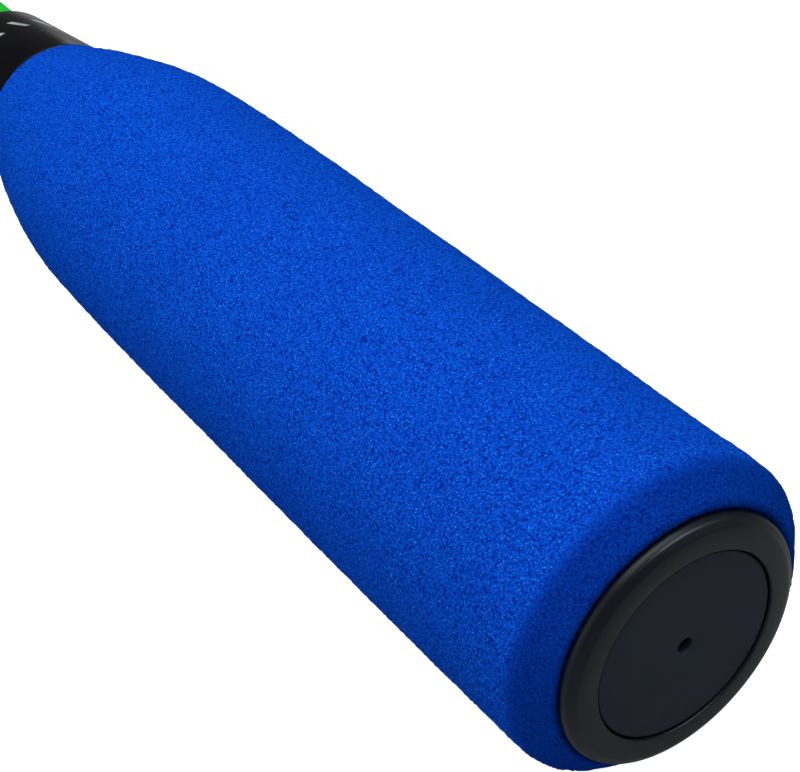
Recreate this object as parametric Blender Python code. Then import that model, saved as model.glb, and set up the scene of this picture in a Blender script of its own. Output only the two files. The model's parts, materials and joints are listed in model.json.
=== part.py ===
"""Golf swing trainer stick: a weighted foam barrel on a slim tube with a rubber grip.

Metres, +Z up. The stick lies on the ground, with its barrel's shoulder and its butt cap touching
z = 0, and with the origin on the ground under its middle. Its axis runs from the face of the end ring
towards the grip, along +X, and leans down a little towards the grip. Stations along the stick ("at")
are measured from the face of the end ring.
"""

import math

import bmesh
import bpy
from mathutils import Matrix

MM = 0.001
SIDES = 24                        # facets round every turned piece, so that nested pieces keep their gaps
FIT = 0.3 * MM                    # gap between pieces that touch

# Driving dimensions
LENGTH = 900 * MM                 # face of the end ring to the end of the butt cap
FOAM_R = 32.6 * MM                # fattest part of the foam barrel
FOAM_START = 3.3 * MM             # where the foam meets the back of the ring's flange
FOAM_END = 249.9 * MM
FOAM_END_R = 21.0 * MM
CORE_R = 19.05 * MM               # outside of the core tube, a 38.1 mm pipe
CORE_BORE_R = 17.1 * MM
CORE_START = 2.9 * MM
RING_R = 25.7 * MM                # flange of the end ring
RING_THICK = 3.0 * MM
RING_EDGE = 2.6 * MM              # radius of its rounded edge
RING_BORE_R = 19.4 * MM
RING_SKIRT_R = 21.55 * MM
RING_SKIRT_END = 24.0 * MM
PLUG_R = 19.1 * MM                # visible disc of the end plug
PLUG_INSET = 0.4 * MM
PLUG_THICK = 2.2 * MM
PLUG_STEM_R = 16.8 * MM
PLUG_STEM_END = 18.6 * MM
VENT_R = 1.6 * MM
PAD_FLOOR = 1.6 * MM              # wall between the disc and the strike pad's cup
TUBE_R = 14.3 * MM                # outside of the shaft tube, a 28.6 mm tube
TUBE_BORE_R = 12.7 * MM
TUBE_START = 178 * MM
TUBE_END = 880 * MM
COLLAR_START = 250.2 * MM
COLLAR_END = 289.2 * MM
COLLAR_WIDE_R = 20.8 * MM
COLLAR_NARROW_R = 17.4 * MM
COLLAR_SPIGOT_END = 226 * MM
COLLAR_SEAL_AT = 270 * MM
SEAL_GROOVE = 3.0 * MM            # length of each seal's groove
SEAL_WIRE_R = 1.0 * MM
PLUG_SEAL_AT = 10.9 * MM
WEIGHT_FRONT = 96 * MM            # nose of the sliding weight at rest, against the magnet
WEIGHT_R = 16.0 * MM
WEIGHT_BOSS_R = 13.5 * MM
WEIGHT_BACK = 151.3 * MM          # end of the slug's rear boss
REAR_SHOULDER = 142.7 * MM
GLIDE_R = 16.9 * MM
KEEPER_BACK = 157.9 * MM
MAGNET_FRONT = KEEPER_BACK + FIT + 0.2 * MM
SINK_R = 6.2 * MM                 # countersinks of the weight's two screws
SINK_HOLE_R = 2.9 * MM
PIN_AT = 191 * MM                 # roll pin across the end of the shaft tube
PIN_R = 2.0 * MM
GRIP_START = 622 * MM
GRIP_END = 883.7 * MM
GRIP_R = 16.6 * MM
BUTT_R = 17.6 * MM
BUTT_START = 884 * MM
BUTT_EDGE = 4.0 * MM              # radius of the butt cap's rounded edge
BUTT_WELL_R = 5.6 * MM            # the screw's sunk seat
BUTT_WELL_DEPTH = 4.6 * MM

# Where the lying stick touches the ground, which sets its lean
REST_AT = 188 * MM
REST_R = 31.9 * MM
FLAT = math.cos(math.pi / SIDES)  # a facet's middle is nearer the axis than its corners
LEAN = math.asin((REST_R - BUTT_R) * FLAT / (LENGTH - BUTT_EDGE - REST_AT))
AXIS_HEIGHT = REST_R * FLAT * math.cos(LEAN) + REST_AT * math.sin(LEAN)

# The origin is on the ground, under the middle of the stick's extent along X
LOW_X = -(RING_R - RING_EDGE) * FLAT * math.sin(LEAN)
HIGH_X = LENGTH * math.cos(LEAN) + (BUTT_R - BUTT_EDGE) * FLAT * math.sin(LEAN)
AXIS_START_X = -(LOW_X + HIGH_X) / 2


def material(name, colour, roughness, metallic=0.0):
    """A Principled BSDF with a piece's own colour and finish."""
    made = bpy.data.materials.new(name)
    made.use_nodes = True
    shader = made.node_tree.nodes["Principled BSDF"]
    shader.inputs["Base Color"].default_value = (*colour, 1.0)
    shader.inputs["Roughness"].default_value = roughness
    shader.inputs["Metallic"].default_value = metallic
    return made


def arc(centre_at, centre_r, radius, start_deg, end_deg, steps):
    """Points of a fillet in the (at, r) plane; 0 degrees points along the stick, 90 away from its axis."""
    points = []
    for i in range(steps + 1):
        turn = math.radians(start_deg + (end_deg - start_deg) * i / steps)
        points.append((centre_at + radius * math.cos(turn), centre_r + radius * math.sin(turn)))
    return points


def turned(name, outline, made_of, parent):
    """A solid of revolution about the stick's axis from a closed outline of (at, r) points.

    An outline point on the axis has r = 0; the outline's other points ring the axis.
    """
    shape = bmesh.new()
    rings = []
    for at, r in outline:
        if r <= 0.0:
            rings.append([shape.verts.new((at, 0.0, 0.0))])
            continue
        ring = []
        for i in range(SIDES):
            turn = 2 * math.pi * (i + 0.5) / SIDES
            ring.append(shape.verts.new((at, r * math.sin(turn), r * math.cos(turn))))
        rings.append(ring)
    for ring, after in zip(rings, rings[1:] + rings[:1]):
        if len(ring) == 1 and len(after) == 1:
            continue
        for i in range(SIDES):
            j = (i + 1) % SIDES
            if len(ring) == 1:
                corners = (ring[0], after[j], after[i])
            elif len(after) == 1:
                corners = (ring[i], ring[j], after[0])
            else:
                corners = (ring[i], ring[j], after[j], after[i])
            shape.faces.new(corners)
    bmesh.ops.recalc_face_normals(shape, faces=shape.faces)
    mesh = bpy.data.meshes.new(name)
    shape.to_mesh(mesh)
    shape.free()
    return placed(name, mesh, made_of, parent)


def placed(name, mesh, made_of, parent):
    """Makes a shaded piece of a mesh and hangs it on its parent."""
    mesh.materials.append(made_of)
    mesh.shade_smooth()
    mesh.set_sharp_from_angle(angle=math.radians(32))
    piece = bpy.data.objects.new(name, mesh)
    bpy.context.scene.collection.objects.link(piece)
    piece.parent = parent
    return piece


def cross_cylinder(name, radius, length):
    """A cylinder across the stick's axis, along Y, where the lock pin sits."""
    mesh = bpy.data.meshes.new(name)
    shape = bmesh.new()
    bmesh.ops.create_cone(
        shape,
        cap_ends=True,
        segments=16,
        radius1=radius,
        radius2=radius,
        depth=length,
        matrix=Matrix.Translation((PIN_AT, 0.0, 0.0)) @ Matrix.Rotation(math.pi / 2, 4, "X"),
    )
    shape.to_mesh(mesh)
    shape.free()
    return mesh


def cross_drill(piece, name, parent):
    """Cuts the lock pin's hole through a piece."""
    through = 40 * MM
    cutter = bpy.data.objects.new(name, cross_cylinder(name, PIN_R + FIT, through))
    bpy.context.scene.collection.objects.link(cutter)
    cutter.parent = parent
    cutter.hide_render = True
    cutter.display_type = "WIRE"
    hole = piece.modifiers.new(name, "BOOLEAN")
    hole.operation = "DIFFERENCE"
    hole.solver = "EXACT"
    hole.object = cutter


def empty(name, location, rotation, parent=None):
    made = bpy.data.objects.new(name, None)
    bpy.context.scene.collection.objects.link(made)
    made.location = location
    made.rotation_euler = rotation
    made.parent = parent
    return made


# ---- the end of the barrel -------------------------------------------------

def end_ring(parent, look):
    """Flanged ferrule over the end of the core tube; its flange holds the foam on."""
    outline = [(0.0, RING_BORE_R + 0.2 * MM)]
    outline += [(0.0, RING_R - RING_EDGE)]
    outline += arc(RING_EDGE, RING_R - RING_EDGE, RING_EDGE, 162, 90, 4)
    outline += [(RING_THICK, RING_R - 0.2 * MM)]
    outline += [(RING_THICK, RING_SKIRT_R)]
    outline += [(RING_SKIRT_END - 0.6 * MM, RING_SKIRT_R)]
    outline += [(RING_SKIRT_END, RING_SKIRT_R - 0.6 * MM)]
    outline += [(RING_SKIRT_END, RING_BORE_R)]
    outline += [(0.2 * MM, RING_BORE_R)]
    return turned("end_ring", outline, look, parent)


def end_plug(parent, look):
    """Disc with a hollow stem that pushes into the core tube, a groove for its seal and a vent hole."""
    face = PLUG_INSET
    back = face + PLUG_THICK
    groove_start = PLUG_SEAL_AT - SEAL_GROOVE / 2
    groove_end = PLUG_SEAL_AT + SEAL_GROOVE / 2
    groove_r = 14.6 * MM
    cup_r = 12.0 * MM
    cup_floor = back + PAD_FLOOR
    outline = [(face, VENT_R)]
    outline += [(face, PLUG_R - 0.3 * MM)]
    outline += [(face + 0.3 * MM, PLUG_R)]
    outline += [(back, PLUG_R)]
    outline += [(back, PLUG_STEM_R)]
    outline += [(groove_start, PLUG_STEM_R)]
    outline += [(groove_start, groove_r)]
    outline += [(groove_end, groove_r)]
    outline += [(groove_end, PLUG_STEM_R)]
    outline += [(PLUG_STEM_END - 0.8 * MM, PLUG_STEM_R)]
    outline += [(PLUG_STEM_END, PLUG_STEM_R - 0.8 * MM)]
    outline += [(PLUG_STEM_END, cup_r)]
    outline += [(cup_floor, cup_r)]
    outline += [(cup_floor, VENT_R)]
    return turned("end_plug", outline, look, parent)


def o_ring(name, at, centre_r, look, parent):
    """Rubber seal of round section, with eight sides to its wire."""
    half_side = 22.5
    outline = arc(at, centre_r, SEAL_WIRE_R, 180 + half_side, half_side - 135, 7)
    return turned(name, outline, look, parent)


def strike_pad(parent, look):
    """Rubber pad let into the stem of the end plug, with a hole in line with the vent."""
    start = PLUG_INSET + PLUG_THICK + PAD_FLOOR + FIT
    end = 22.6 * MM
    foot_r = 11.7 * MM
    rim_r = 15.6 * MM
    outline = [(start, VENT_R)]
    outline += [(start, foot_r)]
    outline += [(PLUG_STEM_END + FIT, foot_r)]
    outline += [(PLUG_STEM_END + FIT, rim_r)]
    outline += [(end - 1.0 * MM, rim_r)]
    outline += [(end, rim_r - 1.0 * MM)]
    outline += [(end, VENT_R)]
    return turned("strike_pad", outline, look, parent)


# ---- the barrel --------------------------------------------------------------

def core_tube(parent, look):
    outline = [
        (CORE_START, CORE_BORE_R),
        (CORE_START, CORE_R),
        (FOAM_END, CORE_R),
        (FOAM_END, CORE_BORE_R),
    ]
    return turned("core_tube", outline, look, parent)


def foam_sleeve(parent, look):
    """Foam barrel: a rounded end behind the ring, a nearly straight body and a bottle shoulder."""
    bore = CORE_R + FIT
    skirt_bore = RING_SKIRT_R + FIT
    outline = [(FOAM_START, skirt_bore)]
    # rounded end, which laps a little over the ring's edge
    outline += [(FOAM_START, RING_R + 0.3 * MM)]
    outline += [(2.6 * MM, RING_R + 0.9 * MM)]
    outline += [(2.8 * MM, 27.9 * MM)]
    outline += [(4.2 * MM, 29.7 * MM)]
    outline += [(6.5 * MM, 30.8 * MM)]
    outline += [(10 * MM, 31.6 * MM)]
    outline += [(20 * MM, 32.15 * MM)]
    # body
    outline += [(40 * MM, 32.5 * MM)]
    outline += [(75 * MM, FOAM_R)]
    outline += [(130 * MM, FOAM_R - 0.1 * MM)]
    outline += [(168 * MM, 32.3 * MM)]
    # shoulder
    outline += [(REST_AT, REST_R)]
    outline += [(202 * MM, 31.3 * MM)]
    outline += [(213 * MM, 29.9 * MM)]
    outline += [(224 * MM, 27.7 * MM)]
    outline += [(234 * MM, 25.4 * MM)]
    outline += [(243 * MM, 22.8 * MM)]
    outline += [(FOAM_END, FOAM_END_R)]
    # bore, wider over the ring's skirt
    outline += [(FOAM_END, bore)]
    outline += [(RING_SKIRT_END + FIT, bore)]
    outline += [(RING_SKIRT_END + FIT, skirt_bore)]
    return turned("foam_sleeve", outline, look, parent)


def collar(parent, look):
    """Conical reducer: a spigot in the core tube, a bore for the shaft tube and a seal groove."""
    bore = TUBE_R + 0.35 * MM
    spigot_r = CORE_BORE_R - FIT
    lead_in = 0.8 * MM
    seal_start = COLLAR_SEAL_AT - SEAL_GROOVE / 2
    seal_end = COLLAR_SEAL_AT + SEAL_GROOVE / 2
    groove_r = 16.8 * MM
    rim = 1.5 * MM
    outline = [(COLLAR_SPIGOT_END, bore)]
    outline += [(COLLAR_SPIGOT_END, spigot_r - lead_in)]
    outline += [(COLLAR_SPIGOT_END + lead_in, spigot_r)]
    outline += [(COLLAR_START, spigot_r)]
    outline += [(COLLAR_START, COLLAR_WIDE_R)]
    outline += [(COLLAR_END - rim, COLLAR_NARROW_R)]
    outline += arc(COLLAR_END - rim, COLLAR_NARROW_R - rim, rim, 60, 0, 2)
    outline += [(COLLAR_END, bore)]
    outline += [(seal_end, bore)]
    outline += [(seal_end, groove_r)]
    outline += [(seal_start, groove_r)]
    outline += [(seal_start, bore)]
    return turned("collar", outline, look, parent)


# ---- the shaft ----------------------------------------------------------------

def shaft_tube(parent, look):
    outline = [
        (TUBE_START, TUBE_BORE_R),
        (TUBE_START, TUBE_R),
        (TUBE_END, TUBE_R),
        (TUBE_END, TUBE_BORE_R),
    ]
    return turned("shaft_tube", outline, look, parent)


def tube_bush(parent, look):
    start = 180 * MM
    end = 202 * MM
    outer_r = CORE_BORE_R - FIT
    bevel = 0.5 * MM
    outline = [
        (start, TUBE_R + FIT),
        (start, outer_r - bevel),
        (start + bevel, outer_r),
        (end - bevel, outer_r),
        (end, outer_r - bevel),
        (end, TUBE_R + FIT),
    ]
    return turned("tube_bush", outline, look, parent)


def magnet_holder(parent, look):
    """Nylon plug: a cup for the magnet, and a spigot in the end of the shaft tube."""
    front = KEEPER_BACK + FIT
    cup_r = 10.4 * MM
    cup_depth = 6.0 * MM
    screw_r = 2.3 * MM
    screw_end = 181 * MM
    head_r = CORE_BORE_R - FIT
    spigot_r = TUBE_BORE_R - FIT
    spigot_end = 204 * MM
    bevel = 1.0 * MM
    outline = [(front, cup_r)]
    outline += [(front, head_r - bevel)]
    outline += [(front + bevel, head_r)]
    outline += [(TUBE_START - FIT, head_r)]
    outline += [(TUBE_START - FIT, spigot_r)]
    outline += [(spigot_end - bevel, spigot_r)]
    outline += [(spigot_end, spigot_r - bevel)]
    outline += [(spigot_end, 0.0)]
    outline += [(screw_end, 0.0)]
    outline += [(screw_end, screw_r)]
    outline += [(front + cup_depth, screw_r)]
    outline += [(front + cup_depth, cup_r)]
    return turned("magnet_holder", outline, look, parent)


def magnet(parent, look):
    """Ring magnet with a countersink for its screw."""
    back = KEEPER_BACK + 6.0 * MM
    outer_r = 10.1 * MM
    hole_r = 2.3 * MM
    sink_r = 4.4 * MM
    sink_depth = 2.4 * MM
    bevel = 0.3 * MM
    outline = [
        (MAGNET_FRONT, sink_r),
        (MAGNET_FRONT, outer_r - bevel),
        (MAGNET_FRONT + bevel, outer_r),
        (back, outer_r),
        (back, hole_r),
        (MAGNET_FRONT + sink_depth, hole_r),
    ]
    return turned("magnet", outline, look, parent)


def countersunk_screw(name, head_at, head_r, shank_r, length, points_to, look, parent):
    """A countersunk screw on the stick's axis with a socket in its head; points_to is +1 or -1."""
    head_depth = head_r - shank_r
    socket_r = 0.45 * head_r
    socket_depth = 0.55 * head_depth
    land = 0.3 * MM
    edge_r = head_r - 0.1 * MM
    tip = 0.6 * MM
    steps = [
        (0.0, socket_r),
        (0.0, edge_r),
        (land, edge_r),
        (land + head_depth, shank_r),
        (length - tip, shank_r),
        (length, shank_r - tip),
        (length, 0.0),
        (socket_depth, 0.0),
        (socket_depth, socket_r),
    ]
    outline = [(head_at + points_to * step, r) for step, r in steps]
    return turned(name, outline, look, parent)


def magnet_screw(parent, look):
    head_at = MAGNET_FRONT + 0.2 * MM
    head_r = 3.9 * MM
    shank_r = 1.9 * MM
    length = 16 * MM
    return countersunk_screw("magnet_screw", head_at, head_r, shank_r, length, 1, look, parent)


def lock_pin(parent, look):
    """Roll pin across the shaft tube and the magnet holder's spigot, covered by the bush."""
    length = 2 * (TUBE_R - 0.5 * MM)
    return placed("lock_pin", cross_cylinder("lock_pin", PIN_R, length), look, parent)


# ---- the sliding weight --------------------------------------------------------

def weight_core(parent, look):
    """Steel slug with a boss at each end for the glides and a tapped hole in each boss."""
    front = WEIGHT_FRONT + 4.3 * MM
    shoulder_front = WEIGHT_FRONT + 12.3 * MM
    front_tap_end = 116 * MM
    rear_tap_end = 136 * MM
    tap_r = SINK_HOLE_R
    outline = [(front, tap_r)]
    outline += [(front, WEIGHT_BOSS_R)]
    outline += [(shoulder_front, WEIGHT_BOSS_R)]
    outline += [(shoulder_front, WEIGHT_R)]
    outline += [(REAR_SHOULDER, WEIGHT_R)]
    outline += [(REAR_SHOULDER, WEIGHT_BOSS_R)]
    outline += [(WEIGHT_BACK, WEIGHT_BOSS_R)]
    outline += [(WEIGHT_BACK, tap_r)]
    outline += [(rear_tap_end, tap_r)]
    outline += [(rear_tap_end, 0.0)]
    outline += [(front_tap_end, 0.0)]
    outline += [(front_tap_end, tap_r)]
    return turned("weight_core", outline, look, parent)


def front_glide(parent, look):
    """Nylon nose cup over the front boss of the slug, with a countersink for its screw."""
    front = WEIGHT_FRONT
    boss = WEIGHT_FRONT + 4.0 * MM
    back = WEIGHT_FRONT + 12.0 * MM
    outline = [
        (front, SINK_R),
        (front, GLIDE_R - 1.2 * MM),
        (front + 1.2 * MM, GLIDE_R),
        (back, GLIDE_R),
        (back, WEIGHT_BOSS_R + FIT),
        (boss, WEIGHT_BOSS_R + FIT),
        (boss, SINK_HOLE_R),
        (front + SINK_R - SINK_HOLE_R, SINK_HOLE_R),
    ]
    return turned("front_glide", outline, look, parent)


def rear_glide(parent, look):
    """Nylon ring round the slug's rear boss."""
    front = REAR_SHOULDER + FIT
    back = WEIGHT_BACK - FIT
    bevel = 0.8 * MM
    outline = [
        (front, WEIGHT_BOSS_R + FIT),
        (front, GLIDE_R),
        (back - bevel, GLIDE_R),
        (back, GLIDE_R - bevel),
        (back, WEIGHT_BOSS_R + FIT),
    ]
    return turned("rear_glide", outline, look, parent)


def keeper_plate(parent, look):
    """Steel plate over the rear glide, which the magnet holds."""
    front = WEIGHT_BACK + FIT
    outer_r = 15.4 * MM
    bevel = 0.6 * MM
    outline = [
        (front, SINK_HOLE_R),
        (front, outer_r),
        (KEEPER_BACK - bevel, outer_r),
        (KEEPER_BACK, outer_r - bevel),
        (KEEPER_BACK, SINK_R),
        (KEEPER_BACK - SINK_R + SINK_HOLE_R, SINK_HOLE_R),
    ]
    return turned("keeper_plate", outline, look, parent)


def weight_screw(name, face_at, points_to, parent, look):
    """One of the slug's two screws, its head just under the face it is sunk in."""
    head_at = face_at + points_to * 0.3 * MM
    head_r = 5.4 * MM
    shank_r = 2.5 * MM
    length = 18 * MM
    return countersunk_screw(name, head_at, head_r, shank_r, length, points_to, look, parent)


# ---- the grip --------------------------------------------------------------------

def grip_ring(parent, look):
    """Trim ring on the tube, in front of the grip's mouth."""
    bore = TUBE_R + FIT
    start = 616 * MM
    end = GRIP_START - FIT
    outer_r = 17.0 * MM
    bevel = 1.0 * MM
    outline = [
        (start, bore),
        (start, outer_r - bevel),
        (start + bevel, outer_r),
        (end - bevel, outer_r),
        (end, outer_r - 0.6 * MM),
        (end, bore),
    ]
    return turned("grip_ring", outline, look, parent)


def grip(parent, look):
    """Slip-on rubber grip, a little fuller at the butt and lipped where it meets its cap."""
    bore = TUBE_R + FIT
    mouth_r = GRIP_R - 0.4 * MM
    outline = [
        (GRIP_START, bore),
        (GRIP_START, mouth_r - 0.6 * MM),
        (GRIP_START + 3 * MM, mouth_r),
        (GRIP_START + 60 * MM, mouth_r),
        (GRIP_START + 160 * MM, GRIP_R),
        (GRIP_END - 14 * MM, GRIP_R + 0.4 * MM),
        (GRIP_END - 5 * MM, BUTT_R - 0.2 * MM),
        (GRIP_END, BUTT_R - 0.2 * MM),
        (GRIP_END, bore),
    ]
    return turned("grip", outline, look, parent)


def butt_plug(parent, look):
    """Nylon plug in the top end of the tube, with a hole for the cap's screw."""
    flange = TUBE_END + FIT
    top = TUBE_END + 3.0 * MM
    root = TUBE_END - 24 * MM
    body_r = TUBE_BORE_R - FIT
    hole_r = 2.2 * MM
    bevel = 1.0 * MM
    outline = [
        (root, hole_r),
        (root, body_r - bevel),
        (root + bevel, body_r),
        (flange, body_r),
        (flange, TUBE_R),
        (top, TUBE_R),
        (top, hole_r),
    ]
    return turned("butt_plug", outline, look, parent)


def butt_cap(parent, look):
    """Rounded cap over the end of the grip, with its screw sunk in the middle."""
    hole_r = 2.4 * MM
    outline = [(BUTT_START, hole_r)]
    outline += [(BUTT_START, BUTT_R)]
    outline += arc(LENGTH - BUTT_EDGE, BUTT_R - BUTT_EDGE, BUTT_EDGE, 90, 0, 5)
    outline += [(LENGTH, BUTT_WELL_R)]
    outline += [(LENGTH - BUTT_WELL_DEPTH, BUTT_WELL_R)]
    outline += [(LENGTH - BUTT_WELL_DEPTH, hole_r)]
    return turned("butt_cap", outline, look, parent)


def butt_screw(parent, look):
    """Pan-head screw with a hex socket; its shank enters the butt plug."""
    seat = LENGTH - BUTT_WELL_DEPTH + FIT
    top = LENGTH - 1.2 * MM
    tip = 864 * MM
    shank_r = 1.9 * MM
    head_r = 4.4 * MM
    socket_r = 2.0 * MM
    socket_depth = 1.6 * MM
    tip_bevel = 0.5 * MM
    head_bevel = 0.8 * MM
    outline = [
        (tip, 0.0),
        (tip, shank_r - tip_bevel),
        (tip + tip_bevel, shank_r),
        (seat, shank_r),
        (seat, head_r),
        (top - head_bevel, head_r),
        (top, head_r - head_bevel),
        (top, socket_r),
        (top - socket_depth, socket_r),
        (top - socket_depth, 0.0),
    ]
    return turned("butt_screw", outline, look, parent)


def hang_on(piece, carrier):
    """Moves a piece under the empty that carries it, without moving it in space."""
    piece.parent = carrier
    piece.data.transform(Matrix.Translation(-carrier.location))


def build():
    for old in list(bpy.data.objects):
        bpy.data.objects.remove(old, do_unlink=True)

    blue_foam = material("blue_foam", (0.004, 0.075, 0.52), 0.85)
    black_abs = material("black_abs", (0.012, 0.013, 0.014), 0.42)
    black_disc = material("black_disc", (0.014, 0.016, 0.02), 0.5)
    black_collar = material("black_collar", (0.008, 0.008, 0.008), 0.3)
    green_tube = material("green_tube", (0.01, 0.5, 0.02), 0.25)
    grey_core = material("grey_core", (0.35, 0.36, 0.38), 0.5)
    nylon = material("nylon", (0.72, 0.7, 0.63), 0.45)
    steel = material("steel", (0.55, 0.56, 0.58), 0.3, 1.0)
    nickel = material("nickel", (0.7, 0.69, 0.66), 0.18, 1.0)
    seal_rubber = material("seal_rubber", (0.02, 0.02, 0.02), 0.6)
    pad_rubber = material("pad_rubber", (0.16, 0.03, 0.02), 0.7)
    grip_rubber = material("grip_rubber", (0.02, 0.021, 0.023), 0.75)

    axis = empty("stick_axis", (AXIS_START_X, 0.0, AXIS_HEIGHT), (0.0, LEAN, 0.0))
    weight_slide = empty("weight_slide", (WEIGHT_FRONT, 0.0, 0.0), (0.0, 0.0, 0.0), axis)
    plug_slide = empty("plug_slide", (PLUG_INSET, 0.0, 0.0), (0.0, 0.0, 0.0), axis)

    foam_sleeve(axis, blue_foam)
    core_tube(axis, grey_core)
    end_ring(axis, black_abs)
    collar(axis, black_collar)
    o_ring("collar_seal", COLLAR_SEAL_AT, 15.65 * MM, seal_rubber, axis)
    shaft = shaft_tube(axis, green_tube)
    tube_bush(axis, nylon)
    holder = magnet_holder(axis, nylon)
    magnet(axis, nickel)
    magnet_screw(axis, steel)
    lock_pin(axis, steel)
    for piece, name in ((shaft, "shaft_pin_hole"), (holder, "holder_pin_hole")):
        cross_drill(piece, name, axis)
    grip_ring(axis, black_abs)
    grip(axis, grip_rubber)
    butt_plug(axis, nylon)
    butt_cap(axis, black_abs)
    butt_screw(axis, steel)

    loose = [
        weight_core(axis, steel),
        front_glide(axis, nylon),
        rear_glide(axis, nylon),
        keeper_plate(axis, nickel),
        weight_screw("nose_screw", WEIGHT_FRONT, 1, axis, steel),
        weight_screw("keeper_screw", KEEPER_BACK, -1, axis, steel),
    ]
    for piece in loose:
        hang_on(piece, weight_slide)
    plug = [
        end_plug(axis, black_disc),
        o_ring("plug_seal", PLUG_SEAL_AT, 15.95 * MM, seal_rubber, axis),
        strike_pad(axis, pad_rubber),
    ]
    for piece in plug:
        hang_on(piece, plug_slide)


build()
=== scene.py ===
"""Looks for the golf swing trainer stick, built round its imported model.

Metres, in the frame's own axes. Every turned piece is built in the stick's own axis: "at" is the
distance from the face of the end ring towards the grip, and "r" the distance from the axis.
"""

import json
import math

import bmesh
import bpy
import numpy as np
from mathutils import Matrix, Vector, noise


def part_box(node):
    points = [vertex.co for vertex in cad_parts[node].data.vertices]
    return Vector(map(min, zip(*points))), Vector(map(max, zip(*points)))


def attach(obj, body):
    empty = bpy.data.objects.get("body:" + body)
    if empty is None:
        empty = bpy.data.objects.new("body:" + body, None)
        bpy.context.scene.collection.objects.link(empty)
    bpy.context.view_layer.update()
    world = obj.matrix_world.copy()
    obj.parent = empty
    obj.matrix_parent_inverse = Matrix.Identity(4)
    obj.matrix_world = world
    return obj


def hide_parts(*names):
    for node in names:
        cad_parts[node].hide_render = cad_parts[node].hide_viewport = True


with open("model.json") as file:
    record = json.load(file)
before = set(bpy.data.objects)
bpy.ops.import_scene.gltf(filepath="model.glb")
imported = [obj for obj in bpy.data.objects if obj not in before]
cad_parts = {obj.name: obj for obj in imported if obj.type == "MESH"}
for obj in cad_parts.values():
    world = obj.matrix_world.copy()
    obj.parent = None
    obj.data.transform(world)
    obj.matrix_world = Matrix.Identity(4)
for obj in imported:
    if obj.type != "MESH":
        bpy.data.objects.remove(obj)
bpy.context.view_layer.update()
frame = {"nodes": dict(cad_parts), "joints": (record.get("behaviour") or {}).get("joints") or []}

MM = 0.001
FOAM_BLUES = [                    # linear colours from the foam's pits to its specks
    (0.12, (0.002, 0.012, 0.22)),
    (0.34, (0.003, 0.045, 0.49)),
    (0.58, (0.004, 0.076, 0.63)),
    (0.80, (0.006, 0.130, 0.79)),
    (0.94, (0.05, 0.42, 1.0)),
]
ROUND = 128                       # segments round a small turned piece
WIDE_ROUND = 160                  # round the collar and the tube
FACE_ROUND = 192                  # round the end ring, the plug and the grip
FOAM_ROUND = 288                  # round the foam, about 0.7 mm each
FOAM_STEP = 0.78 * MM             # ring spacing along the foam's outline
SEED = 7

COLLAR_WIDE_AT, COLLAR_WIDE_R = 250.2 * MM, 20.8 * MM       # the collar's cone
COLLAR_NARROW_AT, COLLAR_NARROW_R = 289.2 * MM, 17.4 * MM

FLOOR_HALF = 12.0                 # half the floor's side
FLOOR_DROP = 0.0002               # the floor lies this far under the object
FLOOR_GLOW = 0.97                 # how bright the floor looks to the eye
FLOOR_MIRRORED = 0.05             # how bright it looks in a gloss
FLOOR_WHITE = 0.42                # how much light it gives back
ROOM_LIGHT = 0.10
KEY_WATTS = 14.2
SIDE_WATTS = 3.1
FRONT_WATTS = 10.0
BACK_WATTS = 1.2


# ---- the stick's axis ----------------------------------------------------------

def axis_matrix():
    """The matrix from the stick's own axes (+X to the grip, +Z up) to the frame."""
    slide = next(j for j in frame["joints"] if j["name"] == "click_slide")
    along = -Vector(slide["axis"]).normalized()
    across = Vector((0.0, 1.0, 0.0))
    above = along.cross(across)
    corners = np.array([v.co for v in frame["nodes"]["end_ring"].data.vertices])
    stations = corners @ np.array(along)
    face = corners[stations < stations.min() + 0.01 * MM]
    centre = Vector(face.min(0) + face.max(0)) / 2
    return Matrix((
        (along.x, across.x, above.x, centre.x),
        (along.y, across.y, above.y, centre.y),
        (along.z, across.z, above.z, centre.z),
        (0.0, 0.0, 0.0, 1.0),
    ))


AXIS = axis_matrix()


def in_axis(node):
    """A CAD node's vertices as (at, y, z) rows in the stick's own axes."""
    corners = np.array([v.co for v in frame["nodes"][node].data.vertices])
    back = np.array(AXIS.inverted())
    return corners @ back[:3, :3].T + back[:3, 3]


def span(node):
    """(start, end, inner radius, outer radius) of a CAD node along the stick."""
    points = in_axis(node)
    radii = np.hypot(points[:, 1], points[:, 2])
    return points[:, 0].min(), points[:, 0].max(), radii.min(), radii.max()


# ---- outlines ---------------------------------------------------------------------

def softened(outline, steps=5):
    """The closed outline with its corners rounded: a corner is (at, r) or (at, r, radius)."""
    points = []
    for i, corner in enumerate(outline):
        here = np.array(corner[:2], float)
        radius = corner[2] if len(corner) > 2 else 0.0
        if radius <= 0.0:
            points.append(tuple(here))
            continue
        before = np.array(outline[i - 1][:2], float) - here
        after = np.array(outline[(i + 1) % len(outline)][:2], float) - here
        before_length, after_length = np.linalg.norm(before), np.linalg.norm(after)
        before, after = before / before_length, after / after_length
        half = math.acos(float(np.clip(before @ after, -1.0, 1.0))) / 2
        if half > math.radians(85):
            points.append(tuple(here))
            continue
        reach = min(radius / math.tan(half), 0.49 * before_length, 0.49 * after_length)
        radius = reach * math.tan(half)
        inward = (before + after) / np.linalg.norm(before + after)
        middle = here + inward * (radius / math.sin(half))
        first, last = here + before * reach - middle, here + after * reach - middle
        sweep = math.pi - 2 * half
        for k in range(steps + 1):
            share = k / steps
            mixed = math.sin((1 - share) * sweep) * first + math.sin(share * sweep) * last
            points.append(tuple(middle + mixed / math.sin(sweep)))
    return points


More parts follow.
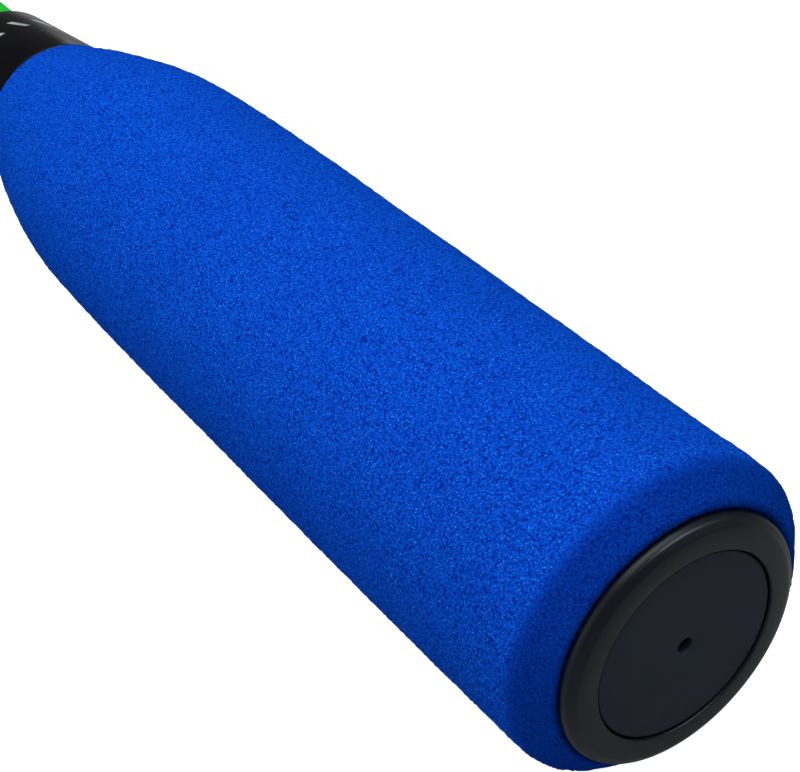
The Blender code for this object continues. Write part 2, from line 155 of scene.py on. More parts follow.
def curve_through(points, step):
    """A smooth curve through (at, r) points, read every step of its length."""
    points = np.array(points, float)
    ends = np.vstack([2 * points[0] - points[1], points, 2 * points[-1] - points[-2]])
    lengths = np.linalg.norm(np.diff(points, axis=0), axis=1)
    fine = []
    for i, length in enumerate(lengths):
        p0, p1, p2, p3 = ends[i : i + 4]
        d0, d1, d2 = (max(np.linalg.norm(b - a), 1e-9) for a, b in ((p0, p1), (p1, p2), (p2, p3)))
        start_slope = d1 * ((p1 - p0) / d0 - (p2 - p0) / (d0 + d1) + (p2 - p1) / d1)
        end_slope = d1 * ((p2 - p1) / d1 - (p3 - p1) / (d1 + d2) + (p3 - p2) / d2)
        count = max(1, round(length / step))
        for k in range(count):
            t = k / count
            fine.append(
                (2 * t**3 - 3 * t**2 + 1) * p1
                + (t**3 - 2 * t**2 + t) * start_slope
                + (3 * t**2 - 2 * t**3) * p2
                + (t**3 - t**2) * end_slope
            )
    fine.append(points[-1])
    return np.array(fine)


def cad_outline(node):
    """The closed outline of a turned CAD node, read from the vertices in one of its half planes."""
    mesh = frame["nodes"][node].data
    points = in_axis(node)
    radii = np.hypot(points[:, 1], points[:, 2])
    turns = np.degrees(np.arctan2(points[:, 1], points[:, 2]))
    first = np.min(turns[(radii > 0.05 * MM) & (turns > 0)])
    chosen = (np.abs(turns - first) < 0.5) | (radii < 0.05 * MM)
    keys = [
        (round(points[i, 0] / MM, 2), round(radii[i] / MM, 2)) if chosen[i] else None
        for i in range(len(points))
    ]
    links = {}
    for edge in mesh.edges:
        a, b = (keys[i] for i in edge.vertices)
        if a and b and a != b:
            links.setdefault(a, set()).add(b)
            links.setdefault(b, set()).add(a)
    starts = sorted(k for k in links if len(links[k]) == 1) or [min(links)]
    chain = [starts[0]]
    while True:
        onward = [k for k in sorted(links[chain[-1]]) if k not in chain]
        if not onward:
            break
        chain.append(onward[0])
    if len(links[chain[0]]) == 1:
        chain = [(chain[0][0], 0.0)] * (chain[0][1] > 0) + chain
        chain = chain + [(chain[-1][0], 0.0)] * (chain[-1][1] > 0)
    return [(at * MM, r * MM) for at, r in chain]


# ---- meshes ------------------------------------------------------------------------

def turned_mesh(name, outline, segments=ROUND, push=None):
    """A solid of revolution from a closed outline. push moves its vertices before they are placed."""
    starts = []
    points = []
    turns = 2 * np.pi * np.arange(segments) / segments
    for at, r in outline:
        starts.append(len(points))
        if r <= 1e-7:
            points.append((at, 0.0, 0.0))
        else:
            points.extend(zip([at] * segments, r * np.sin(turns), r * np.cos(turns)))
    starts.append(len(points))
    points = np.array(points)
    if push is not None:
        points = push(points)
    faces = []
    count = len(outline)
    for i in range(count):
        j = (i + 1) % count
        a, b = starts[i], starts[j]
        lone_a, lone_b = starts[i + 1] - a == 1, starts[j + 1] - b == 1
        if lone_a and lone_b:
            continue
        for k in range(segments):
            m = (k + 1) % segments
            if lone_a:
                faces.append((a, b + m, b + k))
            elif lone_b:
                faces.append((a + k, a + m, b))
            else:
                faces.append((a + k, a + m, b + m, b + k))
    matrix = np.array(AXIS)
    placed = points @ matrix[:3, :3].T + matrix[:3, 3]
    mesh = bpy.data.meshes.new(name)
    mesh.from_pydata(placed.tolist(), [], faces)
    return mesh


def as_piece(name, mesh, look, body, replaces=(), sharp_deg=38):
    """Faces out, smooth shading, a material, and a ride on its body."""
    shape = bmesh.new()
    shape.from_mesh(mesh)
    bmesh.ops.recalc_face_normals(shape, faces=shape.faces)
    shape.to_mesh(mesh)
    shape.free()
    mesh.shade_smooth()
    mesh.set_sharp_from_angle(angle=math.radians(sharp_deg))
    mesh.materials.append(look)
    piece = bpy.data.objects.new(name, mesh)
    bpy.context.scene.collection.objects.link(piece)
    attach(piece, body)
    if replaces:
        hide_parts(*replaces)
    return piece


def fine_copy(node, body, look, edge=0.3 * MM):
    """A smooth, edge-rounded piece in place of a turned CAD node."""
    outline = [(at, r, edge if r > edge else 0.0) for at, r in cad_outline(node)]
    mesh = turned_mesh(f"{node}_fine", softened(outline, 3))
    return as_piece(f"{node}_fine", mesh, look, body, [node])


# ---- materials ------------------------------------------------------------------------

def new_material(name, **values):
    """A node material and its Principled BSDF, with plain values set on the shader's own sockets."""
    made = bpy.data.materials.new(name)
    made.use_nodes = True
    shader = made.node_tree.nodes["Principled BSDF"]
    for socket, value in values.items():
        shader.inputs[socket.replace("_", " ")].default_value = value
    return made, shader


def add_node(tree, kind, inputs=None, **settings):
    """A shader node. An input is a plain value or the socket that feeds it."""
    made = tree.nodes.new(kind)
    for key, value in settings.items():
        setattr(made, key, value)
    for key, value in (inputs or {}).items():
        if isinstance(value, bpy.types.NodeSocket):
            tree.links.new(value, made.inputs[key])
        else:
            made.inputs[key].default_value = value
    return made


def object_noise(tree, scale, detail=2.0, roughness=0.5, stretch=(1.0, 1.0, 1.0)):
    """A noise value in the piece's own coordinates; scale is in features per metre."""
    coordinates = add_node(tree, "ShaderNodeTexCoord").outputs["Object"]
    mapped = add_node(tree, "ShaderNodeMapping", {"Vector": coordinates, "Scale": stretch})
    made = add_node(
        tree,
        "ShaderNodeTexNoise",
        {"Vector": mapped.outputs[0], "Scale": scale, "Detail": detail, "Roughness": roughness},
    )
    return made.outputs["Fac"]


def ramp(tree, value, stops):
    """A colour ramp; stops are (position, colour)."""
    made = add_node(tree, "ShaderNodeValToRGB", {"Fac": value})
    elements = made.color_ramp.elements
    while len(elements) < len(stops):
        elements.new(0.5)
    for element, (position, colour) in zip(elements, stops):
        element.position = position
        element.color = (*colour, 1.0)
    return made.outputs["Color"]


def remap(tree, value, low, high, to_low, to_high):
    """The value carried from one range to another, and held within it."""
    made = add_node(
        tree,
        "ShaderNodeMapRange",
        {"Value": value, "From Min": low, "From Max": high, "To Min": to_low, "To Max": to_high},
    )
    return made.outputs["Result"]


def multiplied(tree, first, second):
    """The product of two colours."""
    made = add_node(tree, "ShaderNodeMix", data_type="RGBA", blend_type="MULTIPLY")
    made.inputs["Factor"].default_value = 1.0
    for value, socket in zip((first, second), made.inputs[6:8]):
        tree.links.new(value, socket)
    return made.outputs[2]


def bumped(tree, shader, height, distance):
    """Fine relief on a shader; distance is its depth in metres."""
    made = add_node(tree, "ShaderNodeBump", {"Height": height, "Distance": distance, "Strength": 1.0})
    tree.links.new(made.outputs["Normal"], shader.inputs["Normal"])


def foam_look():
    """Matte blue foam: fine granules, dark pits and pale specks. Its cut end is smoother, and darkened by
    painted shade in its colour.
    """
    made, shader = new_material(
        "foam_blue",
        Roughness=0.9,
        Specular_IOR_Level=0.0,
        Sheen_Weight=0.06,
        Sheen_Roughness=0.6,
        Sheen_Tint=(0.0, 0.45, 1.0, 1.0),
    )
    tree = made.node_tree
    coordinates = add_node(tree, "ShaderNodeTexCoord").outputs["Object"]
    wobble = add_node(
        tree, "ShaderNodeTexNoise", {"Vector": coordinates, "Scale": 1500.0, "Detail": 2.0}
    )
    bent = add_node(
        tree,
        "ShaderNodeVectorMath",
        {0: wobble.outputs["Color"], 1: (0.0006, 0.0006, 0.0006), 2: coordinates},
        operation="MULTIPLY_ADD",
    )
    cells = add_node(
        tree, "ShaderNodeTexVoronoi", {"Vector": bent.outputs[0], "Scale": 1850.0}, feature="F1"
    )
    domes = remap(tree, cells.outputs["Distance"], 0.1, 0.9, 0.5, 0.0)
    fine = object_noise(tree, 2900, 3.0, 0.75)
    patches = object_noise(tree, 70, 2.0)
    mixed = add_node(tree, "ShaderNodeMath", {0: domes, 1: fine}, operation="ADD")
    grains = remap(tree, mixed.outputs[0], 0.4, 1.15, -0.45, 0.55)
    along = AXIS.col[0].xyz
    reach = add_node(
        tree, "ShaderNodeVectorMath", {0: coordinates, 1: along}, operation="DOT_PRODUCT"
    )
    cut_end = along.dot(AXIS.translation) + 8 * MM
    cut_grain = 0.62
    # over the 2 mm from the cut end: shallower grain, and the mask for the painted shade below
    grain_depth_and_cut_shade = remap(tree, reach.outputs["Value"], cut_end, cut_end + 2 * MM, cut_grain, 1.0)
    height = add_node(
        tree, "ShaderNodeMath", {0: grains, 1: grain_depth_and_cut_shade, 2: 0.45}, operation="MULTIPLY_ADD"
    ).outputs[0]
    blue = ramp(tree, height, FOAM_BLUES)
    patch_tint = ramp(tree, patches, [(0.3, (0.94, 0.94, 0.96)), (0.7, (1.0, 1.05, 1.02))])
    # painted shade: the cut end's blue is darkened to stand in for the shade that falls on the chamfer
    cut_end_painted_shade = ramp(tree, grain_depth_and_cut_shade, [(cut_grain, (0.64, 0.61, 0.65)), (1.0, (1.0, 1.0, 1.0))])
    tone_and_painted_shade = multiplied(tree, multiplied(tree, blue, patch_tint), cut_end_painted_shade)
    tree.links.new(tone_and_painted_shade, shader.inputs["Base Color"])
    bumped(tree, shader, height, 0.4 * MM)
    return made


def moulded_look(name, colour, roughness, grain, depth, specular=0.3):
    """Moulded plastic: a fine spark-eroded grain and slightly uneven gloss."""
    made, shader = new_material(
        name,
        Base_Color=(*colour, 1.0),
        Specular_IOR_Level=specular,
        Specular_Tint=(0.85, 0.95, 1.0, 1.0),
    )
    tree = made.node_tree
    handling = object_noise(tree, 60, 3.0)
    gloss = remap(tree, handling, 0.3, 0.7, roughness - 0.05, roughness + 0.06)
    tree.links.new(gloss, shader.inputs["Roughness"])
    bumped(tree, shader, object_noise(tree, grain, 2.0, 0.6), depth)
    return made


def tube_look():
    """Bright green painted tube with a slight orange peel."""
    made, shader = new_material(
        "tube_green",
        Base_Color=(0.001, 0.43, 0.018, 1.0),
        Specular_IOR_Level=0.015,
        Specular_Tint=(0.0, 1.0, 0.3, 1.0),
    )
    tree = made.node_tree
    tree.links.new(remap(tree, object_noise(tree, 40), 0.3, 0.7, 0.36, 0.48), shader.inputs["Roughness"])
    bumped(tree, shader, object_noise(tree, 350, 1.0), 0.03 * MM)
    return made


def rubber_look(name, colour, roughness=0.7):
    """Matte rubber, paler where dust holds."""
    made, shader = new_material(name, Specular_IOR_Level=0.3)
    tree = made.node_tree
    dust = object_noise(tree, 45, 4.0, 0.6)
    pale = tuple(min(1.0, c * 1.9 + 0.004) for c in colour)
    tree.links.new(ramp(tree, dust, [(0.35, colour), (0.75, pale)]), shader.inputs["Base Color"])
    gloss = remap(tree, dust, 0.3, 0.7, roughness - 0.08, roughness + 0.1)
    tree.links.new(gloss, shader.inputs["Roughness"])
    bumped(tree, shader, object_noise(tree, 3000, 2.0), 0.04 * MM)
    return made


def nylon_look():
    """Natural nylon, slightly see-through."""
    made, shader = new_material("nylon_natural", Subsurface_Weight=0.25, Subsurface_Scale=0.002)
    tree = made.node_tree
    tint = ramp(tree, object_noise(tree, 70), [(0.3, (0.62, 0.59, 0.50)), (0.7, (0.74, 0.72, 0.65))])
    tree.links.new(tint, shader.inputs["Base Color"])
    tree.links.new(remap(tree, object_noise(tree, 200), 0.3, 0.7, 0.35, 0.5), shader.inputs["Roughness"])
    bumped(tree, shader, object_noise(tree, 1500, 2.0), 0.02 * MM)
    return made


def metal_look(name, colour, roughness):
    """Turned metal: fine tool marks round the stick's axis."""
    made, shader = new_material(name, Base_Color=(*colour, 1.0), Metallic=1.0)
    tree = made.node_tree
    marks = object_noise(tree, 300, 3.0, 0.7, (30.0, 1.0, 1.0))
    gloss = remap(tree, marks, 0.3, 0.7, roughness - 0.07, roughness + 0.1)
    tree.links.new(gloss, shader.inputs["Roughness"])
    bumped(tree, shader, marks, 0.01 * MM)
    return made


def print_look():
    """Pale ink, a little uneven."""
    made, shader = new_material("print_pale", Specular_IOR_Level=0.3)
    tree = made.node_tree
    ink = ramp(tree, object_noise(tree, 500), [(0.3, (0.22, 0.24, 0.25)), (0.7, (0.34, 0.37, 0.38))])
    tree.links.new(ink, shader.inputs["Base Color"])
    tree.links.new(remap(tree, object_noise(tree, 400), 0.3, 0.7, 0.35, 0.5), shader.inputs["Roughness"])
    return made


# ---- the barrel --------------------------------------------------------------------------

def foam_outline():
    """(outer curve, closing corners) of the foam: a soft rounded end, a long body and a bottle shoulder."""
    end, bore, fat = span("foam_sleeve")[1:]
    skirt_end, skirt_r = span("end_ring")[1] + 0.3 * MM, 21.85 * MM
    front, ring_r = 3.3 * MM, span("end_ring")[3]
    outer = [
        (front, ring_r + 0.25 * MM),
        (2.8 * MM, ring_r + 0.4 * MM),
        (2.65 * MM, ring_r + 0.9 * MM),
        (3.0 * MM, ring_r + 1.6 * MM),
        (4.1 * MM, ring_r + 2.8 * MM),
        (6.0 * MM, ring_r + 4.7 * MM),
        (7.6 * MM, ring_r + 6.2 * MM),
        (8.8 * MM, fat - 0.32 * MM),
        (11 * MM, fat - 0.2 * MM),
        (22 * MM, fat - 0.15 * MM),
        (40 * MM, fat - 0.05 * MM),
        (75 * MM, fat),
        (130 * MM, fat - 0.1 * MM),
        (160 * MM, fat - 0.2 * MM),
        (180 * MM, fat - 0.5 * MM),
        (195 * MM, fat - 1.0 * MM),
        (205 * MM, fat - 1.7 * MM),
        (214.5 * MM, fat - 3.1 * MM),
        (224 * MM, fat - 5.0 * MM),
        (234 * MM, fat - 7.25 * MM),
        (242 * MM, fat - 9.6 * MM),
        (247 * MM, fat - 11.05 * MM),
        (end - 0.4 * MM, fat - 11.7 * MM),
        (end, fat - 12.1 * MM),
    ]
    closing = [
        (end, bore),
        (skirt_end, bore),
        (skirt_end, skirt_r),
        (front, skirt_r),
    ]
    return curve_through(outer, FOAM_STEP), closing


def foam_sleeve(look):
    """The foam with its grain as real relief, a little off centre at its ends and resting on the floor."""
    curve, closing = foam_outline()
    outline = [tuple(p) for p in curve] + closing
    along = np.gradient(curve, axis=0)
    normals = np.stack([-along[:, 1], along[:, 0]], 1)
    normals /= np.linalg.norm(normals, axis=1)[:, None]
    side_deg = 129.0
    end_shift, end_length = 0.35 * MM, 22 * MM
    shoulder_shift, shoulder_at, shoulder_length = 0.4 * MM, 222 * MM, 24 * MM
    speck, lump, lumps_per_m, swell, swells_per_m = 0.06 * MM, 0.10 * MM, 450, 0.09 * MM, 45
    faded_rings = 3.0
    shift = shoulder_shift * np.exp(-(((curve[:, 0] - shoulder_at) / shoulder_length) ** 2))
    shift -= end_shift * np.exp(-((curve[:, 0] / end_length) ** 2))
    rings = np.arange(len(curve))
    edge_fade = np.clip(np.minimum(rings, rings[::-1]) / faded_rings, 0.0, 1.0)
    draws = np.random.default_rng(SEED)

    def grain(points):
        body = points[: len(curve) * FOAM_ROUND].reshape(len(curve), FOAM_ROUND, 3)
        turns = 2 * np.pi * np.arange(FOAM_ROUND) / FOAM_ROUND
        height = draws.normal(0.0, speck, body.shape[:2])
        height += shift[:, None] * np.cos(turns - math.radians(side_deg))
        for i in range(len(curve)):
            for k in range(FOAM_ROUND):
                place = Vector(body[i, k])
                height[i, k] += (
                    lump * noise.noise(place * lumps_per_m)
                    + swell * noise.noise(place * swells_per_m)
                )
        height *= edge_fade[:, None]
        body[:, :, 0] += height * normals[:, 0, None]
        body[:, :, 1] += height * normals[:, 1, None] * np.sin(turns)
        body[:, :, 2] += height * normals[:, 1, None] * np.cos(turns)
        return points

    mesh = turned_mesh("foam_skin", outline, FOAM_ROUND, grain)
    for vertex in mesh.vertices:
        vertex.co.z = max(vertex.co.z, 0.0)
    piece = as_piece("foam_skin", mesh, look, "stick", ["foam_sleeve"], 70)
    return piece


def end_ring(look):
    """Flanged ring with a rounded edge, and the skirt that holds it in the barrel."""
    start, end, bore, flange_r = span("end_ring")
    thick, skirt_r = 3.0 * MM, 21.55 * MM
    outline = [
        (start, bore, 0.4 * MM),
        (start, flange_r - 3.4 * MM, 8.0 * MM),
        (start + 0.25 * MM, flange_r - 1.9 * MM, 1.8 * MM),
        (start + 1.1 * MM, flange_r - 0.35 * MM, 1.4 * MM),
        (start + 2.0 * MM, flange_r, 1.0 * MM),
        (thick, flange_r, 0.5 * MM),
        (thick, skirt_r, 0.3 * MM),
        (end, skirt_r, 0.6 * MM),
        (end, bore, 0.2 * MM),
    ]
    mesh = turned_mesh("end_ring_fine", softened(outline, 8), FACE_ROUND)
    return as_piece("end_ring_fine", mesh, look, "stick", ["end_ring"])


def end_plug(look):
    """Disc with a small vent, on a hollow stem with a seal groove."""
    start, end, vent, disc_r = span("end_plug")
    back, cup_floor = start + 2.2 * MM, start + 3.8 * MM
    stem_r, cup_r = 16.8 * MM, 12.0 * MM
    groove_start, groove_end, groove_r = 9.4 * MM, 12.4 * MM, 14.6 * MM
    outline = [
        (start, vent, 0.35 * MM),
        (start, disc_r, 0.4 * MM),
        (back, disc_r, 0.2 * MM),
        (back, stem_r, 0.2 * MM),
        (groove_start, stem_r, 0.15 * MM),
        (groove_start, groove_r, 0.2 * MM),
        (groove_end, groove_r, 0.2 * MM),
        (groove_end, stem_r, 0.15 * MM),
        (end, stem_r, 0.8 * MM),
        (end, cup_r, 0.3 * MM),
        (cup_floor, cup_r, 0.5 * MM),
        (cup_floor, vent, 0.2 * MM),
    ]
    mesh = turned_mesh("end_plug_fine", softened(outline, 4), FACE_ROUND)
    return as_piece("end_plug_fine", mesh, look, "end_closure", ["end_plug"])


def collar(look):
    """Cone from the foam down to the tube, with a spigot inside the foam and a seal groove."""
    start, end, bore, wide_r = span("collar")
    spigot_r = 16.8 * MM
    seal_start, seal_end, seal_r = 268.5 * MM, 271.5 * MM, 16.8 * MM
    outline = [
        (start, bore, 0.2 * MM),
        (start, spigot_r, 0.8 * MM),
        (COLLAR_WIDE_AT, spigot_r, 0.2 * MM),
        (COLLAR_WIDE_AT, wide_r, 0.15 * MM),
        (end, COLLAR_NARROW_R, 1.6 * MM),
        (end, bore, 0.5 * MM),
        (seal_end, bore, 0.1 * MM),
        (seal_end, seal_r, 0.2 * MM),
        (seal_start, seal_r, 0.2 * MM),
        (seal_start, bore, 0.1 * MM),
    ]
    mesh = turned_mesh("collar_fine", softened(outline, 7), WIDE_ROUND)
    return as_piece("collar_fine", mesh, look, "stick", ["collar"])


def collar_print(look):
    """A printed row of plain slanted bars round the collar, as a skin of ink on its cone."""
    start_at, end_at = 271.5 * MM, 277.5 * MM
    taper = (COLLAR_NARROW_R - COLLAR_WIDE_R) / (COLLAR_NARROW_AT - COLLAR_WIDE_AT)
    bars, width, slant = 16, 1.5 * MM, 0.16
    rows, columns = 9, 4
    lift, sink = 0.035 * MM, -0.02 * MM
    shape = bmesh.new()
    for bar in range(bars):
        layers = []
        for height in (lift, sink):
            grid = []
            for i in range(rows):
                share = i / (rows - 1)
                at = start_at + (end_at - start_at) * share
                r = COLLAR_WIDE_R + taper * (at - COLLAR_WIDE_AT) + height
                middle = 2 * math.pi * bar / bars + slant * (share - 0.5)
                line = []
                for k in range(columns):
                    turn = middle + (k / (columns - 1) - 0.5) * width / r
                    place = AXIS @ Vector((at, r * math.sin(turn), r * math.cos(turn)))
                    line.append(shape.verts.new(place))
                grid.append(line)
            layers.append(grid)
        for grid in layers:
            for i in range(rows - 1):
                for k in range(columns - 1):
                    shape.faces.new(
                        (grid[i][k], grid[i][k + 1], grid[i + 1][k + 1], grid[i + 1][k])
                    )
        rims = []
        for grid in layers:
            rim = list(grid[0]) + [line[-1] for line in grid[1:]] + list(grid[-1][-2::-1])
            rims.append(rim + [line[0] for line in grid[-2:0:-1]])
        for k in range(len(rims[0])):
            m = (k + 1) % len(rims[0])
            shape.faces.new((rims[0][k], rims[0][m], rims[1][m], rims[1][k]))
    mesh = bpy.data.meshes.new("collar_print")
    shape.to_mesh(mesh)
    shape.free()
    return as_piece("collar_print", mesh, look, "stick")


# ---- the shaft and the grip -------------------------------------------------------------------

def shaft_tube(look):
    """Plain tube; its cross-pin holes are out of sight inside the barrel."""
    start, end = span("shaft_tube")[:2]
    bore, outer = 12.7 * MM, 14.3 * MM
    outline = [
        (start, bore, 0.3 * MM),
        (start, outer, 0.4 * MM),
        (end, outer, 0.4 * MM),
        (end, bore, 0.3 * MM),
    ]
    mesh = turned_mesh("shaft_tube_fine", softened(outline, 3), WIDE_ROUND)
    return as_piece("shaft_tube_fine", mesh, look, "stick", ["shaft_tube"])


def grip(look):
    """Slip-on rubber grip: bands of raised diamonds between smooth rings."""
    start, end, bore, butt_r = span("grip")
    mouth_r, hand_r = 16.2 * MM, 16.9 * MM
    outer = [
        (start, mouth_r - 0.9 * MM),
        (start + 0.5 * MM, mouth_r - 0.4 * MM),
        (start + 3.0 * MM, mouth_r),
        (start + 60 * MM, mouth_r + 0.05 * MM),
        (start + 160 * MM, hand_r - 0.3 * MM),
        (end - 14 * MM, hand_r),
        (end - 5 * MM, butt_r - 0.1 * MM),
        (end - 0.4 * MM, butt_r),
        (end, butt_r - 0.3 * MM),
    ]
    curve = curve_through(outer, 0.75 * MM)
    outline = [tuple(p) for p in curve] + [(end, bore), (start, bore)]
    diamonds, pitch = 24, 7.0 * MM
    band_start, band_end, bands, gap = start + 8 * MM, end - 22 * MM, 5, 5 * MM
    band = (band_end - band_start + gap) / bands
    cut_depth, cut_width, band_fade = 0.75 * MM, 0.2, 1.2 * MM
    ring_depth, ring_width = 0.4 * MM, 0.9 * MM

    def tread(points):
        body = points[: len(curve) * FACE_ROUND].reshape(len(curve), FACE_ROUND, 3)
        turns = 2 * np.pi * np.arange(FACE_ROUND) / FACE_ROUND
        at = body[:, :1, 0]
        inside = (at - band_start) % band
        fade = np.clip(np.minimum(inside, band - gap - inside) / band_fade, 0.0, 1.0)
        fade *= (at > band_start) & (at < band_end)
        one = diamonds * turns / 2 + 2 * np.pi * at / (2 * pitch)
        other = diamonds * turns / 2 - 2 * np.pi * at / (2 * pitch)
        cuts = np.minimum(np.abs(np.sin(one)), np.abs(np.sin(other)))
        depth = -cut_depth * fade * np.exp(-((cuts / cut_width) ** 2))
        depth = depth - ring_depth * np.exp(-(((inside + gap / 2) % band) / ring_width) ** 2)
        scale = 1 + depth / np.hypot(body[:, :, 1], body[:, :, 2])
        body[:, :, 1] *= scale
        body[:, :, 2] *= scale
        return points

    mesh = turned_mesh("grip_skin", outline, FACE_ROUND, tread)
    return as_piece("grip_skin", mesh, look, "stick", ["grip"], 60)


def grip_ring(look):
    """Rounded trim ring at the grip's mouth."""
    start, end, bore, outer = span("grip_ring")
    outline = [
        (start, bore, 0.2 * MM),
        (start, outer - 0.7 * MM, 0.5 * MM),
        (start + 1.2 * MM, outer, 0.8 * MM),
        (end - 1.0 * MM, outer, 0.6 * MM),
        (end, outer - 0.6 * MM, 0.3 * MM),
        (end, bore, 0.2 * MM),
    ]
    mesh = turned_mesh("grip_ring_fine", softened(outline, 5))
    return as_piece("grip_ring_fine", mesh, look, "stick", ["grip_ring"])


def butt_cap(look):
    """Rounded cap with a shallow ring round its sunk screw; its radius is what the box allows."""
    start, end, hole = span("butt_cap")[:3]
    low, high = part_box("butt_cap")
    outer = (high.y - low.y) / 2
    groove_r = outer - 0.35 * MM
    ring_floor = end - 0.4 * MM
    well_r, well_floor = 5.6 * MM, end - 4.6 * MM
    outline = [
        (start, hole, 0.2 * MM),
        (start, outer, 0.5 * MM),
        (start + 2.2 * MM, outer, 0.3 * MM),
        (start + 2.5 * MM, groove_r, 0.15 * MM),
        (start + 3.1 * MM, groove_r, 0.15 * MM),
        (start + 3.4 * MM, outer, 0.3 * MM),
        (end, outer, 4.0 * MM),
        (end, 11.2 * MM, 0.2 * MM),
        (ring_floor, 10.8 * MM, 0.2 * MM),
        (ring_floor, 10.0 * MM, 0.2 * MM),
        (end, 9.6 * MM, 0.2 * MM),
        (end, well_r, 0.4 * MM),
        (well_floor, well_r, 0.3 * MM),
        (well_floor, hole, 0.2 * MM),
    ]
    mesh = turned_mesh("butt_cap_fine", softened(outline, 8))
    return as_piece("butt_cap_fine", mesh, look, "stick", ["butt_cap"])


# ---- the studio ---------------------------------------------------------------------------------

def camera():
    """Looks down on the end of the barrel from beside it; its place is in the stick's own axes."""
    place = Vector((-0.15590, 0.16402, 0.20398))
    look_along = Vector((0.686297, -0.461840, -0.561872))
    lens = bpy.data.cameras.new("camera")
    lens.lens = 78.37
    lens.sensor_width = 36.0
    lens.clip_start = 0.01
    made = bpy.data.objects.new("camera", lens)
    bpy.context.scene.collection.objects.link(made)
    turn = look_along.to_track_quat("-Z", "Y").to_matrix().to_4x4()
    made.matrix_world = AXIS @ Matrix.Translation(place) @ turn
    bpy.context.scene.camera = made


def soft_light(name, place, target, size, watts):
    """A large rectangular light at place, turned to target and itself out of sight."""
    lamp = bpy.data.lights.new(name, "AREA")
    lamp.shape = "RECTANGLE"
    lamp.size, lamp.size_y = size
    lamp.energy = watts
    made = bpy.data.objects.new(name, lamp)
    bpy.context.scene.collection.objects.link(made)
    made.location = place
    made.visible_camera = False
    made.rotation_euler = (Vector(target) - Vector(place)).to_track_quat("-Z", "Y").to_euler()
    return made


def studio():
    """A pale floor, a pale room and large soft lights. The front and back ones only show in gloss."""
    floor_mesh = bpy.data.meshes.new("floor")
    corners = ((-1, -1), (1, -1), (1, 1), (-1, 1))
    floor_mesh.from_pydata(
        [(x * FLOOR_HALF, y * FLOOR_HALF, -FLOOR_DROP) for x, y in corners], [], [(0, 1, 2, 3)]
    )
    floor = bpy.data.objects.new("floor", floor_mesh)
    bpy.context.scene.collection.objects.link(floor)
    made = bpy.data.materials.new("floor_white")
    made.use_nodes = True
    tree = made.node_tree
    tree.nodes.clear()
    ray = add_node(tree, "ShaderNodeLightPath")
    mirrored = add_node(
        tree,
        "ShaderNodeMath",
        {0: ray.outputs["Is Glossy Ray"], 1: FLOOR_MIRRORED},
        operation="MULTIPLY",
    )
    glow = add_node(
        tree,
        "ShaderNodeMath",
        {0: ray.outputs["Is Camera Ray"], 1: FLOOR_GLOW, 2: mirrored.outputs[0]},
        operation="MULTIPLY_ADD",
    )
    white = (FLOOR_WHITE, FLOOR_WHITE, FLOOR_WHITE, 1.0)
    diffuse = add_node(tree, "ShaderNodeBsdfDiffuse", {"Color": white})
    light = add_node(tree, "ShaderNodeEmission", {"Strength": glow.outputs[0]})
    both = add_node(tree, "ShaderNodeAddShader")
    tree.links.new(diffuse.outputs[0], both.inputs[0])
    tree.links.new(light.outputs[0], both.inputs[1])
    output = add_node(tree, "ShaderNodeOutputMaterial")
    tree.links.new(both.outputs[0], output.inputs["Surface"])
    floor_mesh.materials.append(made)

    world = bpy.data.worlds.new("room")
    bpy.context.scene.world = world
    world.use_nodes = True
    tree = world.node_tree
    tree.nodes.clear()
    seen = add_node(tree, "ShaderNodeLightPath").outputs["Is Camera Ray"]
    strength = remap(tree, seen, 0.0, 1.0, ROOM_LIGHT, 1.0)
    backdrop = add_node(tree, "ShaderNodeBackground", {"Color": (1.0, 1.0, 1.0, 1.0), "Strength": strength})
    output = add_node(tree, "ShaderNodeOutputWorld")
    tree.links.new(backdrop.outputs[0], output.inputs["Surface"])

    middle = AXIS @ Vector((0.13, 0.0, 0.0))
    end_face = AXIS @ Vector((0.0, 0.0, 0.0))
    shoulder = AXIS @ Vector((0.27, 0.0, 0.0))
    key = soft_light(
        "key",
        middle + Vector((0.08, 0.10, 0.92)),
        middle + Vector((0.1, 0.0, 0.0)),
        (1.05, 0.9),
        KEY_WATTS,
    )
    key.data.color = (0.96, 1.0, 1.02)
    front = soft_light("front", middle + Vector((-0.87, -0.38, 0.74)), end_face, (0.5, 0.35), FRONT_WATTS)
    front.visible_diffuse = False
    back = soft_light("back", middle + Vector((1.0, -0.80, 0.30)), shoulder, (0.6, 0.45), BACK_WATTS)
    back.visible_diffuse = False
    soft_light("side", middle + Vector((0.15, 0.88, 0.22)), middle, (0.9, 0.6), SIDE_WATTS)
    bpy.context.scene.view_settings.view_transform = "Standard"
    bpy.context.scene.view_settings.look = "None"


camera()
studio()

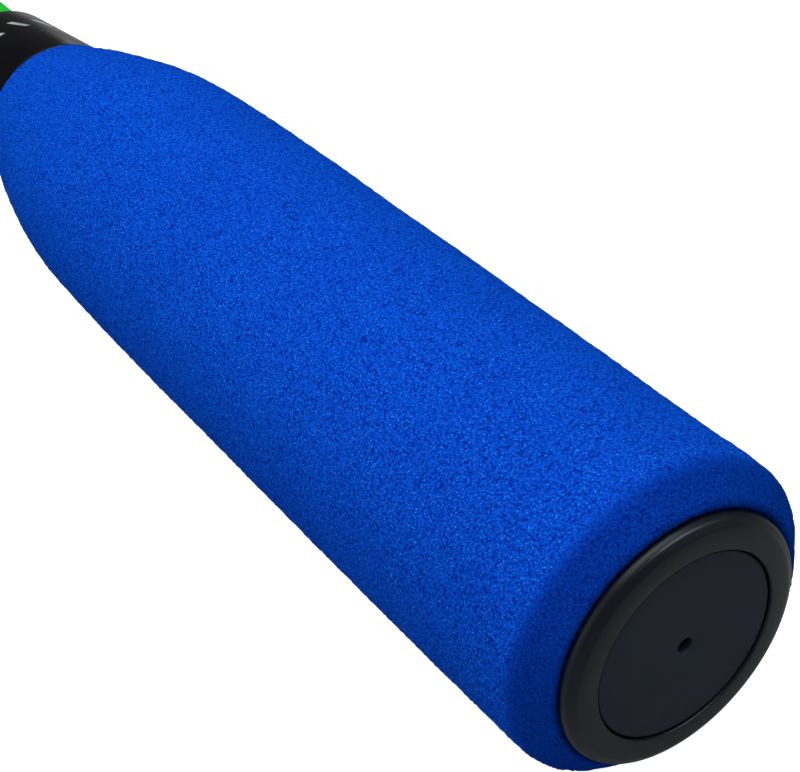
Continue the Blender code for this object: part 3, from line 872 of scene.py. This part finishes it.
foam = foam_look()
ring_black = moulded_look("moulded_black", (0.003, 0.0042, 0.0075), 0.40, 1800, 0.010 * MM, 0.20)
disc_black = moulded_look("disc_black", (0.0215, 0.027, 0.042), 0.62, 2500, 0.02 * MM, 0.10)
collar_black = moulded_look("collar_black", (0.001, 0.001, 0.0015), 0.22, 1500, 0.004 * MM, 0.15)
seal_black = rubber_look("seal_black", (0.012, 0.012, 0.012))
pad_red = rubber_look("pad_red", (0.16, 0.03, 0.02))
grip_black = rubber_look("grip_black", (0.010, 0.0105, 0.011), 0.55)
nylon = nylon_look()
steel = metal_look("steel_turned", (0.55, 0.56, 0.58), 0.28)
nickel = metal_look("nickel_plate", (0.70, 0.69, 0.66), 0.2)
core_grey = moulded_look("core_grey", (0.33, 0.34, 0.36), 0.5, 900, 0.02 * MM, 0.4)
green = tube_look()

foam_sleeve(foam)
end_ring(ring_black)
end_plug(disc_black)
collar(collar_black)
collar_print(print_look())
shaft_tube(green)
grip(grip_black)
grip_ring(ring_black)
butt_cap(ring_black)

for node, body, look, slot in (
    ("plug_seal", "end_closure", seal_black, "seal_rubber"),
    ("strike_pad", "end_closure", pad_red, "pad_rubber"),
    ("core_tube", "stick", core_grey, "grey_core"),
    ("collar_seal", "stick", seal_black, "seal_rubber"),
    ("tube_bush", "stick", nylon, "nylon"),
    ("magnet", "stick", nickel, "nickel"),
    ("magnet_screw", "stick", steel, "steel"),
    ("butt_plug", "stick", nylon, "nylon"),
    ("butt_screw", "stick", steel, "steel"),
    ("weight_core", "click_weight", steel, "steel"),
    ("front_glide", "click_weight", nylon, "nylon"),
    ("rear_glide", "click_weight", nylon, "nylon"),
    ("keeper_plate", "click_weight", nickel, "nickel"),
    ("nose_screw", "click_weight", steel, "steel"),
    ("keeper_screw", "click_weight", steel, "steel"),
):
    fine_copy(node, body, look)

for node, look in (("magnet_holder", nylon), ("lock_pin", steel)):
    mesh = frame["nodes"][node].data
    mesh.materials.clear()
    mesh.materials.append(look)
